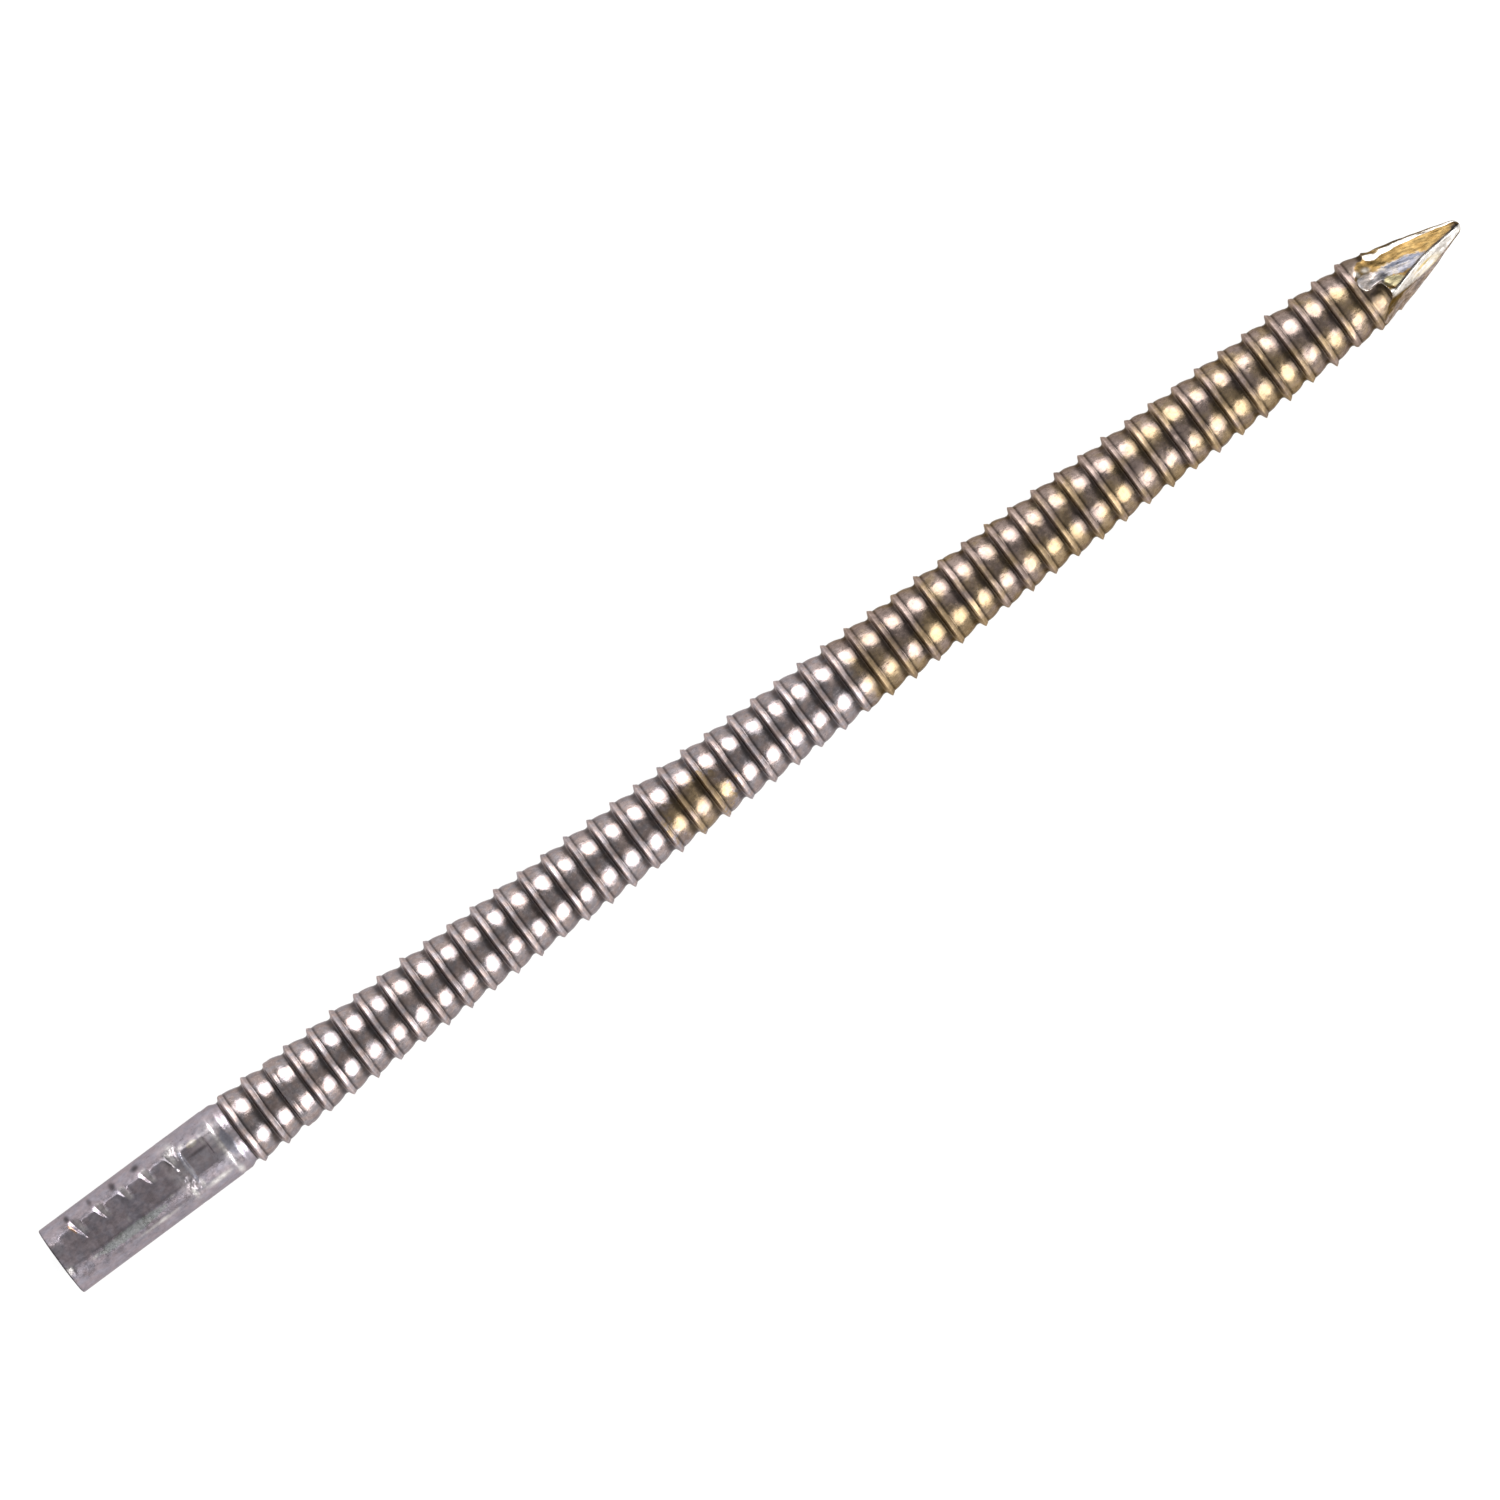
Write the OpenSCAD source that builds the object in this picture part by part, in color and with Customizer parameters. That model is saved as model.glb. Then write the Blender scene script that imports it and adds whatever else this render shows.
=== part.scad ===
// Ring-shank wire nail with a diamond point and no head.
// The nail lies along +X with its point towards +X, and +Z is up. The origin is the centre
// of the square-cut struck end. One length of drawn steel wire makes the whole nail, so each
// node below is one worked zone of that wire, and the zones meet face to face.

/* [Wire] */
// Diameter of the drawn wire, which is also the plain shank's
wire_d = 2.8; // [2.5:0.1:3.4]
// Length of the nail, from the struck end to the tip
nail_l = 63; // [50:1:75]

/* [Struck end] */
// Length of untouched wire between the struck face and the gripper marks
end_l = 0.4; // [0.2:0.05:0.6]
// Size of the broken edge round the struck face
end_edge = 0.04; // [0.02:0.01:0.1]

/* [Gripper marks] */
// Distance from the struck face to the far end of the long pressed flat
gripped_l = 5.35; // [5.3:0.05:5.5]
// Number of grooves that each gripper die leaves
groove_count = 5; // [1:1:5]
// Distance from the struck face to the first groove
first_groove = 1.10; // [0.9:0.05:1.3]
// Distance from one groove to the next
groove_pitch = 1.02; // [0.8:0.02:1.1]
// Depth of each groove
groove_depth = 0.12; // [0.04:0.01:0.2]
// Turn of the grooves round the wire, away from the top
groove_turn = 31; // [0:1:45]
// Slant of each groove
groove_slant = 14; // [0:1:20]
// Depth of the long flat under the grooves
flat_depth = 0.14; // [0.04:0.01:0.2]
// Turn of the long flat round the wire, away from the top
flat_turn = 8.4; // [0:0.1:20]
// Depth of the short flat that the die's heel leaves
heel_depth = 0.045; // [0.02:0.005:0.1]
// Distance from the struck face to the short flat
heel_at = 5.9; // [5.6:0.1:6.2]
// Length of the short flat
heel_l = 1.0; // [0.5:0.1:1.2]

/* [Rings] */
// Distance from the struck face to the first ring's lip
first_lip = 8.1; // [7.8:0.1:12]
// Distance from one ring to the next
ring_pitch = 1.05; // [0.9:0.05:1.4]
// Height of each lip above the wire
lip_rise = 0.10; // [0.04:0.01:0.2]
// Depth of the root behind each lip, below the wire
root_depth = 0.126; // [0.05:0.002:0.2]
// Distance from the struck face to the start of the resin coat
coat_start = 35.2; // [20:0.1:40]

/* [Point] */
// Distance from the last lip to the tip, before whole rings are counted
point_l = 4.5; // [4.3:0.1:6]
// Angle between each of the four facets and the nail's axis
facet_angle = 13.6; // [12:0.1:17]
// Turn of the facets round the nail, away from the top
facet_turn = 24; // [0:1:45]
// Half width of the blunt tip across two facets
tip_half_w = 0.165; // [0.1:0.01:0.3]

/* [Hidden] */
$fn = 96;

wire_r = wire_d / 2;
steel = [0.62, 0.60, 0.60];
coated_steel = [0.66, 0.58, 0.42];

// Each ring from its root to the next: a steep flank up to the lip, a step down to the
// collar, a slightly crowned barrel, and a long slope to the next root
root_r = wire_r - root_depth;
lip_r = wire_r + lip_rise;
root_back = 0.18 * ring_pitch;
flank_back = 0.11 * ring_pitch;
edge_back = 0.04 * ring_pitch;
collar_at = 0.17 * ring_pitch;
crown_at = 0.31 * ring_pitch;
shoulder_at = 0.57 * ring_pitch;
flank_rise = 0.024;
edge_drop = 0.02;
crown_rise = 0.006;
shoulder_drop = 0.062;

ring_count = 1 + floor((nail_l - point_l - first_lip) / ring_pitch + 0.01);
coated_from = ceil((coat_start - first_lip) / ring_pitch);
last_ring = ring_count - 1;
rings_start = lip_at(0) - root_back;
coat_edge = lip_at(coated_from) - root_back;
point_start = lip_at(last_ring) + collar_at;

// Length over which the neck is drawn in, and the width of the die's groove teeth
neck_taper_l = 0.3;
tooth_w = 0.3;
// How far a cut that goes right through runs past the wire's end faces
overrun = 1;

// The facets would meet in a sharp apex beyond the tip, where the nose is rounded off
apex_at = nail_l + tip_half_w / tan(facet_angle);
nose_r = 0.6 * tip_half_w;
nose_l = 0.12;

// Distance of a ring's lip from the struck face
function lip_at(ring) = first_lip + ring * ring_pitch;

// Outline of a ring up to the foot of its lip, as points of [radius, distance along]
function lip_outline(ring) = [
    [root_r, lip_at(ring) - root_back],
    [root_r + flank_rise, lip_at(ring) - flank_back],
    [lip_r - edge_drop, lip_at(ring) - edge_back],
    [lip_r, lip_at(ring)],
    [wire_r, lip_at(ring) + collar_at]
];

// The rest of the ring's outline, up to the next root
function barrel_outline(ring) = [
    [wire_r + crown_rise, lip_at(ring) + crown_at],
    [wire_r - shoulder_drop, lip_at(ring) + shoulder_at]
];

function rings_outline(from, to) = [
    for (ring = [from : to]) each concat(lip_outline(ring), barrel_outline(ring))
];

// A solid turned round the nail's axis, closed by flat ends at start and end. Its seam
// is on the +Y side.
module turned(outline, start, end) {
    rotate([90, 0, 90])
        rotate_extrude()
            polygon(concat([[0, start]], outline, [[0, end]]));
}

module struck_end() {
    color(steel)
        turned(
            [[wire_r - end_edge, 0], [wire_r, end_edge], [wire_r, end_l]],
            0, end_l
        );
}

// The wire pressed flat and grooved by a gripper die on each side. The round bar's seam
// faces +Z, where the flat takes it away.
module gripped_shank() {
    color(steel)
        difference() {
            rotate([90, 0, 0])
                turned([[wire_r, end_l], [wire_r, gripped_l]], end_l, gripped_l);
            for (side = [0, 180])
                rotate([side, 0, 0]) {
                    rotate([-flat_turn, 0, 0])
                        pressed_flat(end_l - overrun, gripped_l + overrun, flat_depth);
                    for (i = [0 : groove_count - 1])
                        die_groove(first_groove + i * groove_pitch);
                }
        }
}

// The space that a flat takes out of the top of the wire
module pressed_flat(start, end, depth) {
    translate([start, -wire_d, wire_r - depth])
        cube([end - start, 2 * wire_d, wire_d]);
}

// The space of one V groove, across the wire with its bottom edge at groove_depth
module die_groove(at) {
    rotate([-groove_turn, 0, 0])
        translate([at, 0, wire_r - groove_depth + tooth_w * sqrt(2) / 2])
            rotate([0, 0, groove_slant])
                rotate([0, 45, 0])
                    cube([tooth_w, 2 * wire_d, tooth_w], center = true);
}

// Plain wire with the mark of each die's heel, drawn in to the root of the first ring
module shank_neck() {
    color(steel)
        difference() {
            turned(
                [
                    [wire_r, gripped_l],
                    [wire_r, rings_start - neck_taper_l],
                    [root_r, rings_start]
                ],
                gripped_l, rings_start
            );
            for (side = [0, 180])
                rotate([side, 0, 0])
                    pressed_flat(heel_at, heel_at + heel_l, heel_depth);
        }
}

module bright_rings() {
    color(steel)
        turned(
            concat(rings_outline(0, coated_from - 1), [[root_r, coat_edge]]),
            rings_start, coat_edge
        );
}

module coated_rings() {
    color(coated_steel)
        turned(
            concat(rings_outline(coated_from, last_ring - 1), lip_outline(last_ring)),
            coat_edge, point_start
        );
}

// Four facets sheared across the ends of the rings, down to a blunt tip
module diamond_point() {
    color(coated_steel)
        difference() {
            turned(
                concat(
                    [[wire_r, point_start]],
                    barrel_outline(last_ring),
                    lip_outline(ring_count),
                    [[wire_r, nail_l - nose_l], [nose_r, nail_l]]
                ),
                point_start, nail_l
            );
            for (i = [0 : 3])
                rotate([90 * i - facet_turn, 0, 0])
                    facet_cut();
        }
}

// Everything above the facet that faces +Z
module facet_cut() {
    translate([apex_at, 0, 0])
        rotate([0, facet_angle, 0])
            translate([-3 * point_l, -wire_d, 0])
                cube([4 * point_l, 2 * wire_d, wire_d]);
}

struck_end();
gripped_shank();
shank_neck();
bright_rings();
coated_rings();
diamond_point();
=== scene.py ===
import math

import bpy
import numpy as np
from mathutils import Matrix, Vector


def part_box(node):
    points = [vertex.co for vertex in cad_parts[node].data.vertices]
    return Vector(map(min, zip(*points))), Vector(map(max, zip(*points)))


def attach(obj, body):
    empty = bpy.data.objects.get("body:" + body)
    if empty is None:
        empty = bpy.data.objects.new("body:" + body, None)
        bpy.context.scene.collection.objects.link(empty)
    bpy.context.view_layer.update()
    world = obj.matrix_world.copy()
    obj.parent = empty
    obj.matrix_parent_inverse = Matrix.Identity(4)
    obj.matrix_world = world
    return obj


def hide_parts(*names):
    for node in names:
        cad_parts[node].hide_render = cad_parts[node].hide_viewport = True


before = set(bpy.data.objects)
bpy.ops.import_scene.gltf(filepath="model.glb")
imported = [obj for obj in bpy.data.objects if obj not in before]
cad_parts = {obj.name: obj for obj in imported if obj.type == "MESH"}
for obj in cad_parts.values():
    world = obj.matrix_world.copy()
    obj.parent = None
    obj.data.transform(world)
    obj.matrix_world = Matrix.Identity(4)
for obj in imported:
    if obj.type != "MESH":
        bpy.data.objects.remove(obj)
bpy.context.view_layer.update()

MM = 0.001


def node_span(node):
    """Where a CAD node starts and ends along the nail, in millimetres."""
    low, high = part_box(node)
    return low.x / MM, high.x / MM


# Sizes on the nail are in millimetres. A turn goes round the wire from +Z towards +Y.
END_STOP = node_span("struck_end")[1]
GRIP_STOP = node_span("gripped_shank")[1]
RINGS_START = node_span("bright_rings")[0]
POINT_START, TIP = node_span("diamond_point")
WIRE_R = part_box("struck_end")[1].z / MM

# The rings. Each starts at the root before its lip and ends at the next root
ROOT_BACK = 0.19
NEXT_ROOT = 0.86
FIRST_LIP = RINGS_START + ROOT_BACK
RING_PITCH = 1.05
FIRST_COATED = 26
LAST_RING = 48
# Two more rings have a place, though the point's shears cut them away
RING_PLACES = LAST_RING + 3
# How far the first lips are off the even pitch. The others lag, and catch up at the point
EARLY_SHIFTS = [0.03, 0.025, -0.04]
RING_LAG = 0.145

# One ring's outline: distance along from its lip, and height above the wire
LIP_HEIGHT = 0.106
RING_OUTLINE = [
    (-ROOT_BACK, -0.128), (-0.130, -0.106), (-0.090, -0.040), (-0.047, 0.052), (-0.012, 0.100),
    (0.0, LIP_HEIGHT), (0.014, 0.100), (0.060, 0.072), (0.105, 0.050), (0.135, 0.024),
    (0.165, 0.004), (0.205, 0.004), (0.300, 0.001), (0.420, -0.015), (0.530, -0.041),
    (0.680, -0.086), (0.790, -0.126), (NEXT_ROOT, -0.130),
]
# Where the rows of points lie on each ring, closest together at the lip
RING_STEPS = [
    -ROOT_BACK, -0.155, -0.120, -0.100, -0.083, -0.065, -0.047, -0.024, -0.010,
    0.0, 0.012, 0.035, 0.065, 0.085, 0.105, 0.120, 0.135, 0.152, 0.170, 0.190, 0.210,
    0.265, 0.320, 0.370, 0.420, 0.475, 0.530, 0.605, 0.680, 0.750, 0.820,
]
RING_COLUMNS = 160

# The gripper marks: a long flat and slanted grooves on each side, then the heel's short flat
FLAT_TURN = math.radians(8.4)
FLAT_DEPTH = 0.14
GROOVE_COUNT = 5
FIRST_GROOVE = 1.07
GROOVE_PITCH = 1.02
GROOVE_SLANT = 0.237
GROOVE_MIDDLE = 0.65
GROOVE_DEPTH = 0.155
# How hard each tooth bit, and how far round the wire it reaches, in degrees
GROOVE_STRENGTH = [1.1, 0.86, 0.5, 0.82, 0.32]
GROOVE_TOP = [48, 43, 41, 43, 41]
HEEL_DEPTH = 0.112
# Pairs of distances between which a flat fades in or out
FLAT_STOP = (5.5, 5.2)
HEEL_START = (5.66, 5.90)
HEEL_STOP = (6.98, 6.80)

# The point's facets, sheared on a line that closes in on an apex beyond the tip
APEX = TIP + 0.67
FACET_SLOPE = 0.242
# Each face's turn from the widest facet in degrees, and its distance from the axis as a
# share of the widest facet's, with a little more or less
WIDEST_FACET = (0, 1, 0)
UPPER_BEVEL = (20, 1.138, 0)
LOWER_BEVEL = (-60, 1.366, -0.015)
OTHER_FACES = [UPPER_BEVEL, LOWER_BEVEL, (90, 1, 0), (180, 1, 0), (270, 1, 0)]
NOSE_L = 0.2


def smooth_curve(keys, at):
    """The heights at each distance on a smooth curve through the keys, with no overshoot."""
    x = np.array([k[0] for k in keys])
    y = np.array([k[1] for k in keys])
    step = np.diff(x)
    slope = np.diff(y) / step
    tangent = np.zeros(len(x))
    for i in range(1, len(x) - 1):
        if slope[i - 1] * slope[i] > 0:
            w1 = 2 * step[i] + step[i - 1]
            w2 = step[i] + 2 * step[i - 1]
            tangent[i] = (w1 + w2) / (w1 / slope[i - 1] + w2 / slope[i])
    i = np.clip(np.searchsorted(x, at) - 1, 0, len(x) - 2)
    t = np.clip((at - x[i]) / step[i], 0, 1)
    return (
        y[i] * (1 + 2 * t) * (1 - t) ** 2
        + step[i] * tangent[i] * t * (1 - t) ** 2
        + y[i + 1] * t * t * (3 - 2 * t)
        + step[i] * tangent[i + 1] * t * t * (t - 1)
    )


def ease(low, high, value):
    """0 below low, 1 above high, and smooth between."""
    t = np.clip((value - low) / (high - low), 0, 1)
    return t * t * (3 - 2 * t)


def soft_line(value, at, width):
    """1 where the value is at a given place, and a soft fall to 0 on both sides of it."""
    return np.exp(-(((value - at) / width) ** 2))


def soft_min(a, b, rounding):
    """The smaller of two radii, with the edge between them rounded off."""
    h = np.clip(rounding - np.abs(a - b), 0, None) / rounding
    return np.minimum(a, b) - h * h * rounding / 4


def turn_from(turn, middle):
    """The angle round the wire from middle, between minus and plus half a turn."""
    return (turn - middle + math.pi) % (2 * math.pi) - math.pi


def ripple(x, turn, size, seed, waves=14):
    """Smooth seeded unevenness of about -1 to 1, with features of that size in millimetres."""
    rng = np.random.default_rng(seed)
    total = 0
    for _ in range(waves):
        heading = rng.uniform(0, 2 * math.pi)
        pace = rng.uniform(0.5, 1.4) * 2 * math.pi / size
        around = round(WIRE_R * pace * math.cos(heading))
        along = pace * math.sin(heading)
        total = total + np.cos(around * turn + along * x + rng.uniform(0, 2 * math.pi))
    return total / math.sqrt(waves)


def lip_place(ring):
    """Distance of a ring's lip from the struck face: near an even pitch, with a slight sway."""
    early = len(EARLY_SHIFTS)
    if ring < early:
        shift = EARLY_SHIFTS[ring]
    else:
        shift = -RING_LAG * (LAST_RING + 1 - ring) / (LAST_RING + 1 - early)
    sway = 0.012 * math.sin(7.3 * ring)
    return FIRST_LIP + ring * RING_PITCH + shift + sway


LIPS = [lip_place(ring) for ring in range(RING_PLACES)]
# How far each lip stands up, how much higher it is on one side, and how proud its barrel is.
# The first lip is low and the third is almost missing
RING_RNG = np.random.default_rng(11)
LIP_SCALE = RING_RNG.uniform(0.72, 1.2, RING_PLACES)
LIP_SCALE[0] = 0.62
LIP_SCALE[2] = 0.12
LIP_LEAN = RING_RNG.uniform(0.0, 0.32, RING_PLACES)
LIP_LEAN_TURN = RING_RNG.uniform(0, 2 * math.pi, RING_PLACES)
BARREL_LIFT = RING_RNG.uniform(-0.007, 0.007, RING_PLACES)


def ring_start(ring):
    """Distance of the root where a ring starts."""
    return LIPS[ring] - ROOT_BACK


def ring_stretch(ring):
    """The length of a ring past its lip, as a share of the outline's."""
    return (ring_start(ring + 1) - LIPS[ring]) / NEXT_ROOT


def ring_at(x):
    """The ring at each distance, its own start included, and the distance from its lip."""
    starts = [ring_start(ring) for ring in range(RING_PLACES)]
    ring = np.clip(np.searchsorted(starts, x + 1e-6) - 1, 0, RING_PLACES - 2)
    return ring, x - np.array(LIPS)[ring]


def ring_height(x, turn):
    """Height of the rings above the wire, uneven round each lip and worn on each barrel."""
    ring, along = ring_at(x)
    stretch = np.array([ring_stretch(i) for i in range(RING_PLACES - 1)])[ring]
    along = np.where(along > 0, along / stretch, along)
    height = smooth_curve(RING_OUTLINE, along)
    tooth = np.clip(height, 0, None) * ease(0.19, 0.15, along)
    lean = LIP_LEAN[ring] * np.cos(turn - LIP_LEAN_TURN[ring])
    rougher = 1 + 0.9 * ease(30, 50, x)
    uneven = 0.13 * rougher * ripple(ring * 3.1 + 0 * x, turn, 0.55, 21)
    scale = LIP_SCALE[ring] * (1 + lean) + uneven * (LIP_SCALE[ring] > 0.3)
    barrel = ease(0.15, 0.3, along) * ease(NEXT_ROOT, 0.55, along)
    wear = 0.004 * ripple(x, turn, 0.8, 22) + 0.0014 * ripple(x, turn, 0.25, 23)
    wear = wear * rougher
    return height + tooth * (scale - 1) + (BARREL_LIFT[ring] + wear) * barrel


def neck_height(x):
    """Height of the neck, which steps down and then closes in to the first ring's root."""
    step = -0.022 * ease(7.15, 7.3, x)
    return step - 0.104 * ease(7.60, RINGS_START, x)


def plane_radius(turn, middle, distance):
    """Radius of a flat face whose normal is at that turn, as far as the face reaches."""
    across = np.cos(turn_from(turn, middle))
    return np.where(across > 0.2, distance / np.clip(across, 0.2, 1), 10.0)


def past_groove(x, turn, groove, side):
    """How far each place is past the near edge of one slanted groove."""
    across = WIRE_R * np.sin(turn_from(turn, side))
    return x - FIRST_GROOVE - groove * GROOVE_PITCH - GROOVE_SLANT * (GROOVE_MIDDLE - across)


def groove_depth(x, turn, groove, side):
    """Depth of one die tooth's groove: a near wall that faces the point and a longer far wall."""
    s = past_groove(x, turn, groove, side)
    wall = np.clip(s / 0.19, 0, 1) * np.clip((0.47 - s) / 0.28, 0, 1)
    turned = np.degrees(turn_from(turn, side))
    floor = GROOVE_DEPTH * np.clip((GROOVE_TOP[groove] - turned) / 21, 0, 1) * ease(-2, 9, turned)
    return GROOVE_STRENGTH[groove] * floor * wall


def flat_lobes(x, turn, side):
    """Where the flat is pressed less, in a row of lobes along its upper edge beside the grooves."""
    lobes = 0
    for groove in range(-1, GROOVE_COUNT):
        s = x - FIRST_GROOVE - groove * GROOVE_PITCH
        lobes = np.maximum(lobes, np.exp(-(((s - 0.24) / 0.21) ** 4)))
    turned = np.degrees(turn_from(turn, side))
    return lobes * ease(4, 24, turned)


def pressed_side(x, turn, radius, side):
    """One die's long flat, the low rim beside it, and its grooves."""
    ends = ease(-0.9, 0.4, x) * ease(*FLAT_STOP, x)
    pressed = FLAT_DEPTH - 0.05 * flat_lobes(x, turn, side)
    flat = WIRE_R - pressed * ends + 0.004 * ripple(x, turn, 0.9, 31) + 0.06 * (1 - ends)
    radius = soft_min(radius, plane_radius(turn, side + FLAT_TURN, flat), 0.025)
    rim = soft_line(turn_from(turn, side + math.radians(37)), 0, math.radians(2.6))
    rim = rim * ease(0.4, 0.6, x) * ease(5.2, 5.0, x)
    radius = radius + 0.012 * rim
    for groove in range(GROOVE_COUNT):
        radius = soft_min(radius, WIRE_R - groove_depth(x, turn, groove, side), 0.012)
    return radius


def chip_radius(x, turn):
    """The chip on the struck end's edge, which deepens a little and then runs out steeply."""
    deepest = 0.26
    chip = WIRE_R - 0.006 - 0.09 * np.clip(x, 0, deepest) + 0.6 * np.clip(x - deepest, 0, None)
    return plane_radius(turn, math.radians(-21), chip)


def gripped_radius(x, turn, radius):
    """The wire with a long flat and grooves pressed into each side, and the chip."""
    for side in (0, math.pi):
        radius = pressed_side(x, turn, radius, side)
    return soft_min(radius, chip_radius(x, turn), 0.02)


def heel_radius(x, turn, radius):
    """The wire with the short flat that the die's heel leaves, and the scuffs before it."""
    scuffed = ease(5.15, 5.4, x) * ease(5.9, 5.7, x)
    radius = radius + scuffed * (0.006 * ripple(x, turn, 0.34, 41) + 0.002 * ripple(x, turn, 0.12, 42))
    for side in (0, math.pi):
        ends = ease(*HEEL_START, x) * ease(*HEEL_STOP, x)
        flat = WIRE_R - HEEL_DEPTH * ends + 0.1 * (1 - ends)
        radius = soft_min(radius, plane_radius(turn, side + math.radians(4), flat), 0.02)
    return radius


def facet_turn(x):
    """Turn of the widest facet round the nail: the shear twisted the wire as it cut."""
    return np.radians(np.interp(x, [59.71, 60.3, 61.2, 62.57], [18.6, 22.6, 30.5, 31.0]))


def facet_reach(x):
    """How far the widest facet lies from the axis, before it is torn."""
    return FACET_SLOPE * (APEX - x) + 0.18 * np.clip(59.75 - x, 0, None) ** 2


def face_radius(x, turn, face, reach):
    """Radius of one of the point's faces, given how far the widest facet lies from the axis."""
    degrees, share, more = face
    return plane_radius(turn, facet_turn(x) + math.radians(degrees), share * reach + more)


def facet_radius(x, turn):
    """Radius of the point's facets: four torn faces and two narrow bevels, with a bank of
    metal left standing on the lower side of the scallop in the last ring."""
    torn = 0.005 + 0.016 * ease(60.2, 59.2, x)
    reach = facet_reach(x) + torn * ripple(x, turn, 0.7, 51) + 0.0015 * ripple(x, turn, 0.25, 52)
    reach = reach - 0.02 * ease(59.6, 58.9, x)
    y = WIRE_R * np.sin(turn)
    bank = ease(0.08, -0.08, x - 59.46 - 0.45 * np.clip(-0.08 - y, 0, 0.6))
    bank = bank * ease(0.05, -0.06, y) * (np.cos(turn) > 0)
    facets = face_radius(x, turn, WIDEST_FACET, reach + 0.16 * bank)
    for face in OTHER_FACES:
        facets = soft_min(facets, face_radius(x, turn, face, reach), 0.022)
    return facets


def point_radius(x, turn, radius):
    """The rings' end cut by the point's facets, and the rounded tip."""
    radius = soft_min(radius, facet_radius(x, turn), 0.02)
    nose = np.clip((x - (TIP - NOSE_L)) / (NOSE_L + 0.001), 0, 1)
    return radius * np.sqrt(1 - nose**2)


def wire_radius(x, turn):
    """Radius of the necked and ringed wire before the dies and the point's shears touch it."""
    rings = ring_height(np.clip(x, RINGS_START, None), turn)
    radius = WIRE_R + np.where(x < ring_start(0), neck_height(x), rings)
    radius = radius - 0.04 * (1 - ease(0, 0.045, x)) * (1 + 0.4 * ripple(x, turn, 0.6, 61))
    return radius + 0.0035 * ripple(x, turn, 0.7, 62) * ease(7.6, 7.2, x)


def on_point(x):
    return x.max() > POINT_START + 0.01


def bar_radius(x, turn):
    """Radius of the nail at each distance along it and turn round it."""
    radius = wire_radius(x, turn)
    if x.min() < FLAT_STOP[0]:
        radius = gripped_radius(x, turn, radius)
    if x.min() < HEEL_STOP[0]:
        radius = heel_radius(x, turn, radius)
    if on_point(x):
        radius = point_radius(x, turn, radius)
    return radius


# --- marks that the meshes carry for their materials -------------------------------------


def ring_marks(x):
    """Lip: where the metal is dull from rolling, and lightened as a painted highlight. Painted shade:
    dark lines beside lips and in roots.
    """
    ring, along = ring_at(x)
    ringed = x > ring_start(0) - 0.02
    standing = ease(0.1, 0.4, LIP_SCALE[ring])
    lip = ease(-0.12, -0.06, along) * ease(0.17, 0.12, along) * ringed
    lip = lip * standing
    collar = soft_line(along, 0.19, 0.05) + 0.55 * soft_line(along, 0.08, 0.024)
    collar = collar * standing
    root = ease(0.62, 0.80, along) + ease(-0.10, -0.16, along)
    return lip, np.clip(0.9 * collar + root, 0, 1) * ringed


def spot(x, turn, at, low, long, wide, side=0.0):
    """A soft spot on the top or the underside: its place along and across, and its half sizes."""
    across = WIRE_R * np.sin(turn_from(turn, side))
    facing = np.cos(turn_from(turn, side)) > 0
    far = ((x - at) / long) ** 2 + ((across - low) / wide) ** 2
    return np.exp(-(far**1.5)) * facing


# Painted highlights and painted shade on the plain shank: along, across, half sizes, strength
PAINTED_HIGHLIGHTS = [
    (0.13, -0.47, 0.17, 0.15, 0.85), (3.8, -0.99, 0.85, 0.06, 0.7), (6.45, -1.0, 0.5, 0.09, 0.9),
    (5.44, -0.92, 0.09, 0.2, 0.8), (5.87, -0.78, 0.09, 0.17, 0.6), (6.4, 0.63, 0.18, 0.13, 0.5),
    (5.8, 0.1, 0.09, 0.75, 0.32), (7.3, -1.2, 0.13, 0.16, 0.6), (1.2, -0.6, 0.2, 0.05, 0.35),
    (5.45, 0.1, 0.4, 1.3, 0.22), (7.22, -0.2, 0.1, 0.6, 0.7), (4.68, -0.47, 0.12, 0.06, 0.5),
    (7.28, -0.9, 0.08, 0.25, 0.3), (7.35, 0.0, 0.5, 0.9, 0.22), (0.2, 0.5, 0.2, 0.3, 0.12),
    (6.75, 0.55, 0.07, 0.22, 0.4), (2.95, -0.2, 0.06, 0.12, 0.3), (6.4, 0.0, 0.5, 0.5, 0.08),
    (5.6, 0.95, 0.15, 0.2, 0.45), (6.0, 0.75, 0.15, 0.1, 0.5), (7.1, 0.7, 0.3, 0.3, 0.15),
]
PAINTED_SHADE_SPOTS = [
    (1.1, 1.12, 0.11, 0.13, 1.0), (2.12, 1.12, 0.1, 0.15, 0.8), (3.13, 1.1, 0.14, 0.16, 1.0),
    (4.18, 1.13, 0.18, 0.12, 1.0), (6.4, 0.28, 0.4, 0.08, 0.6), (7.55, 0.1, 0.17, 0.55, 0.4),
    (0.0, 0.0, 0.05, 1.9, 1.0), (2.0, -0.45, 0.8, 0.06, 0.3), (4.0, -0.45, 1.2, 0.06, 0.3),
    (2.7, 0.15, 2.7, 0.6, 0.25), (2.9, -0.75, 2.9, 0.4, 0.4), (3.27, 0.6, 0.1, 0.35, 0.3),
    (5.3, 0.65, 0.1, 0.3, 0.8),
]


def far_wall_highlight(x, turn, side):
    """A painted highlight on each groove's far wall."""
    across = WIRE_R * np.sin(turn_from(turn, side))
    facing = np.cos(turn_from(turn, side)) > 0
    total = 0
    for groove in range(GROOVE_COUNT):
        s = past_groove(x, turn, groove, side)
        total = total + ease(0.16, 0.24, s) * ease(0.46, 0.34, s)
    return 0.4 * total * facing * ease(0.25, 0.45, across) * ease(1.0, 0.85, across)


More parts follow.
